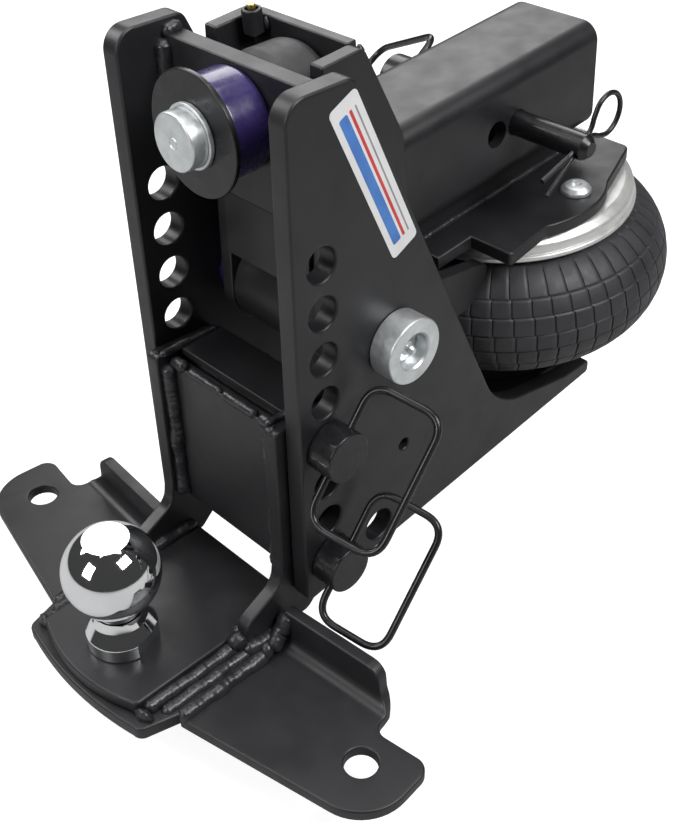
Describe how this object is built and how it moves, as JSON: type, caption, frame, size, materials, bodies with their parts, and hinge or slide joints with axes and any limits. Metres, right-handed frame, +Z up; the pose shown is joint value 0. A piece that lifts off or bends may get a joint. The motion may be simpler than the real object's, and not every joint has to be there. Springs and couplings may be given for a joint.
{
  "type": "weight distribution hitch",
  "caption": "Air-ride weight distribution hitch with a hinged head on a square receiver shank, an air spring under the shank, a pinned ball mount and two sway tabs.",
  "frame": {"origin": "centre of the flat on top of the hitch ball", "axes": "+X towards the tow vehicle, +Y to the vehicle's left, +Z up"},
  "size_m": [0.5004, 0.3838, 0.3937],
  "materials": {
    "powder_coat": "satin black powder coat on welded steel plate",
    "gloss_black": "gloss black oxide and lacquer on pins, wire bails and clips",
    "zinc": "bright zinc plate",
    "chrome": "polished chrome plate",
    "bead_metal": "pale plated pressed steel",
    "rubber": "moulded rubber with a raised block pattern",
    "cushion_rubber": "matt grey-black rubber",
    "urethane": "glossy purple urethane",
    "brass": "machined brass",
    "hose": "smooth black air hose"
  },
  "bodies": {
    "shank_arm": {"receiver_tube": "powder_coat", "tube_saddle": "powder_coat", "left_arm_plate": "powder_coat", "right_arm_plate": "powder_coat", "left_tail_plate": "powder_coat", "right_tail_plate": "powder_coat", "arm_back_plate": "powder_coat", "arm_front_plate": "powder_coat", "pivot_drum": "powder_coat", "left_pivot_bush": "brass", "right_pivot_bush": "brass", "valve_tube": "powder_coat", "air_valve": "brass", "rebound_pin": "zinc", "retaining_ring": "zinc", "rebound_washer": "gloss_black", "rebound_bushing": "urethane", "rear_cushion": "cushion_rubber", "bag_plate": "powder_coat", "left_bag_screw": "zinc", "right_bag_screw": "zinc", "bead_plate": "bead_metal", "air_bag": "rubber", "air_fitting": "brass", "air_line": "hose"},
    "hitch_head": {"left_side_plate": "powder_coat", "right_side_plate": "powder_coat", "front_cross_plate": "powder_coat", "floor_plate": "powder_coat", "pivot_pin": "zinc", "left_pivot_collar": "zinc", "right_pivot_collar": "zinc", "left_grease_fitting": "zinc", "right_grease_fitting": "zinc", "left_thrust_bush": "urethane", "right_thrust_bush": "urethane", "bag_foot": "rubber", "left_ball_mount_cheek": "powder_coat", "right_ball_mount_cheek": "powder_coat", "ball_mount_front_plate": "powder_coat", "ball_mount_top_plate": "powder_coat", "ball_plate": "powder_coat", "base_plate": "powder_coat", "left_sway_tab": "powder_coat", "right_sway_tab": "powder_coat", "hitch_ball": "chrome", "ball_lock_washer": "zinc", "ball_nut": "zinc"},
    "upper_pin_set": {"upper_pin": "gloss_black", "upper_clip": "gloss_black"},
    "lower_pin_set": {"lower_pin": "gloss_black", "lower_clip": "gloss_black"},
    "receiver_pin_set": {"receiver_pin": "gloss_black", "receiver_clip": "gloss_black"},
    "upper_bail_body": {"upper_bail": "gloss_black"},
    "lower_bail_body": {"lower_bail": "gloss_black"},
    "receiver_bail_body": {"receiver_bail": "gloss_black"}
  },
  "joints": [
    {"name": "head_pivot", "type": "hinge", "parent": "shank_arm", "child": "hitch_head", "pos_m": [0.1625, 0, 0.0898], "axis": [0, -1, 0], "range_deg": [-1.5, 4], "deforming": ["air_bag", "rebound_bushing", "rear_cushion"]},
    {"name": "upper_pin_play", "type": "slide", "parent": "hitch_head", "child": "upper_pin_set", "axis": [0, -1, 0], "range_m": [0, 0.003]},
    {"name": "lower_pin_play", "type": "slide", "parent": "hitch_head", "child": "lower_pin_set", "axis": [0, -1, 0], "range_m": [0, 0.003]},
    {"name": "receiver_pin_slide", "type": "slide", "parent": "shank_arm", "child": "receiver_pin_set", "axis": [0, 1, 0], "range_m": [0, 0.04]},
    {"name": "upper_bail_swing", "type": "hinge", "parent": "upper_pin_set", "child": "upper_bail_body", "pos_m": [0.1085, -0.0801, 0.0458], "axis": [-0.6225, 0, -0.7826], "range_deg": [-70, 40]},
    {"name": "lower_bail_swing", "type": "hinge", "parent": "lower_pin_set", "child": "lower_bail_body", "pos_m": [0.1085, -0.0801, -0.0412], "axis": [-0.6225, 0, -0.7826], "range_deg": [-70, 10]},
    {"name": "receiver_bail_swing", "type": "hinge", "parent": "receiver_pin_set", "child": "receiver_bail_body", "pos_m": [0.30804, 0.061, 0.16246], "axis": [0.829, 0, 0.5592], "range_deg": [-30, 60]}
  ]
}
